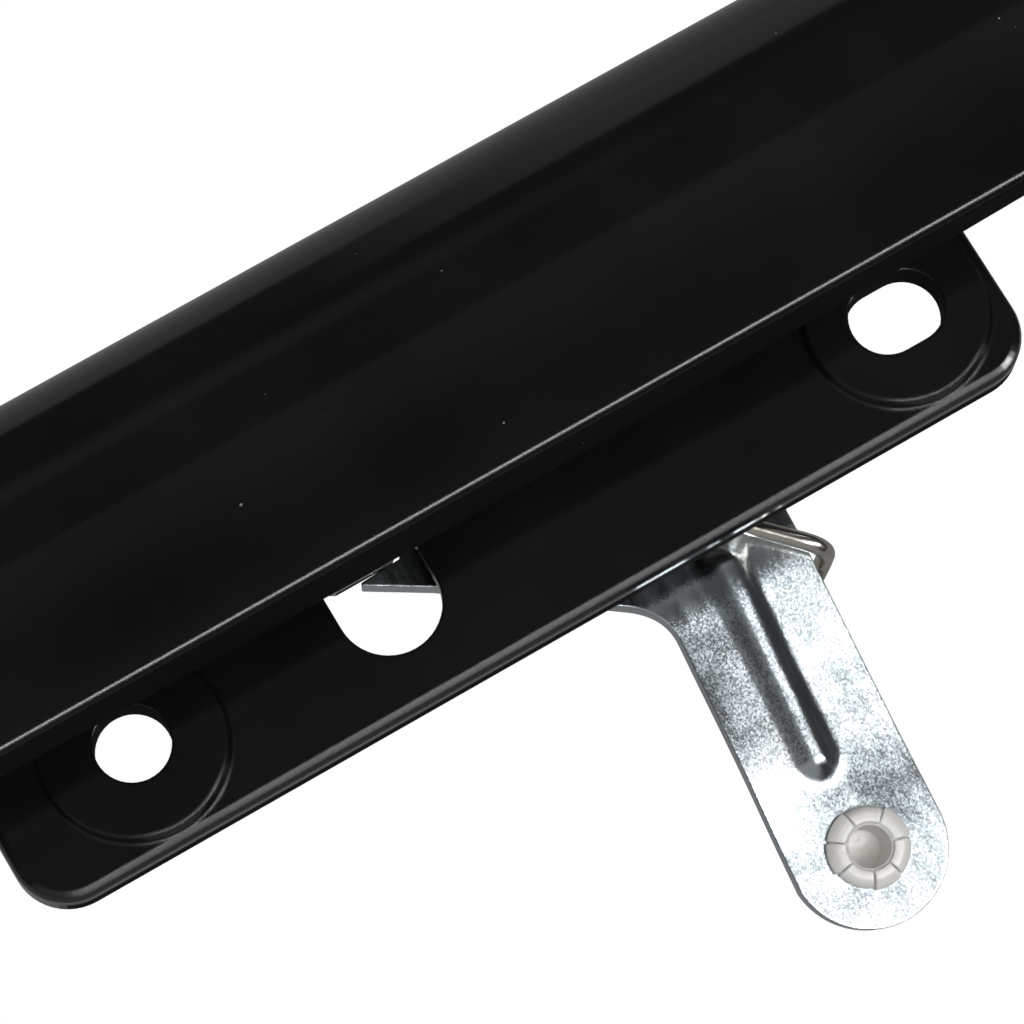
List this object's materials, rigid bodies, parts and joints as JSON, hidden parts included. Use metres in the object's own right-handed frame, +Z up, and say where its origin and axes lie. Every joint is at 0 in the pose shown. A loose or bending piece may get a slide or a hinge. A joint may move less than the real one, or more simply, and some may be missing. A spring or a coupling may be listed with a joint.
{
  "type": "pull-handle latch operator",
  "caption": "Crowned pull paddle hinged on a die-cast mounting plate; a finger through the plate turns a spring-loaded bell crank with a bushed rod lever.",
  "frame": {"origin": "on the plate's rear mounting plane, midway between the axes of the two mounting holes", "axes": "+X along the paddle and the line of the holes, +Y rearward out of the mounting plane, +Z up towards the paddle's hinge"},
  "size_m": [0.172, 0.0378, 0.0821],
  "materials": {
    "black_paint": "gloss",
    "zinc_plate": "bright zinc plating",
    "screw_steel": "zinc plated",
    "spring_steel": "nickel plated wire",
    "nylon": "translucent natural",
    "rubber": "matte"
  },
  "bodies": {
    "plate": {"base_plate": "black_paint", "hinge_pin": "zinc_plate", "pin_clip": "spring_steel", "bumper_left": "rubber", "bumper_right": "rubber", "pivot_stud": "zinc_plate", "crank_washer_front": "nylon", "crank_washer_rear": "zinc_plate", "pivot_clip": "spring_steel", "crank_spring": "spring_steel", "handle_spring": "spring_steel"},
    "handle": {"handle_bar": "black_paint", "handle_carrier": "black_paint", "carrier_screws": "screw_steel", "hinge_bush_left": "nylon", "hinge_bush_right": "nylon"},
    "crank": {"bell_crank": "zinc_plate", "rod_bushing": "nylon"}
  },
  "joints": [
    {"name": "handle_hinge", "type": "hinge", "parent": "plate", "child": "handle", "pos_m": [-0.006, -0.0115, 0.023], "axis": [-1, 0, 0], "range_deg": [0, 35], "stiffness_Nm_per_rad": 0.12, "springref_deg": -34.38, "deforming": ["handle_spring"]},
    {"name": "crank_pivot", "type": "hinge", "parent": "plate", "child": "crank", "pos_m": [0.0168, 0.005, 0.0025], "axis": [0, -1, 0], "range_deg": [0, 12], "stiffness_Nm_per_rad": 0.12, "springref_deg": -28.65, "deforming": ["crank_spring"]}
  ],
  "couplings": [
    {"joint": "crank_pivot", "follows": "handle_hinge", "ratio": 0.3428}
  ]
}
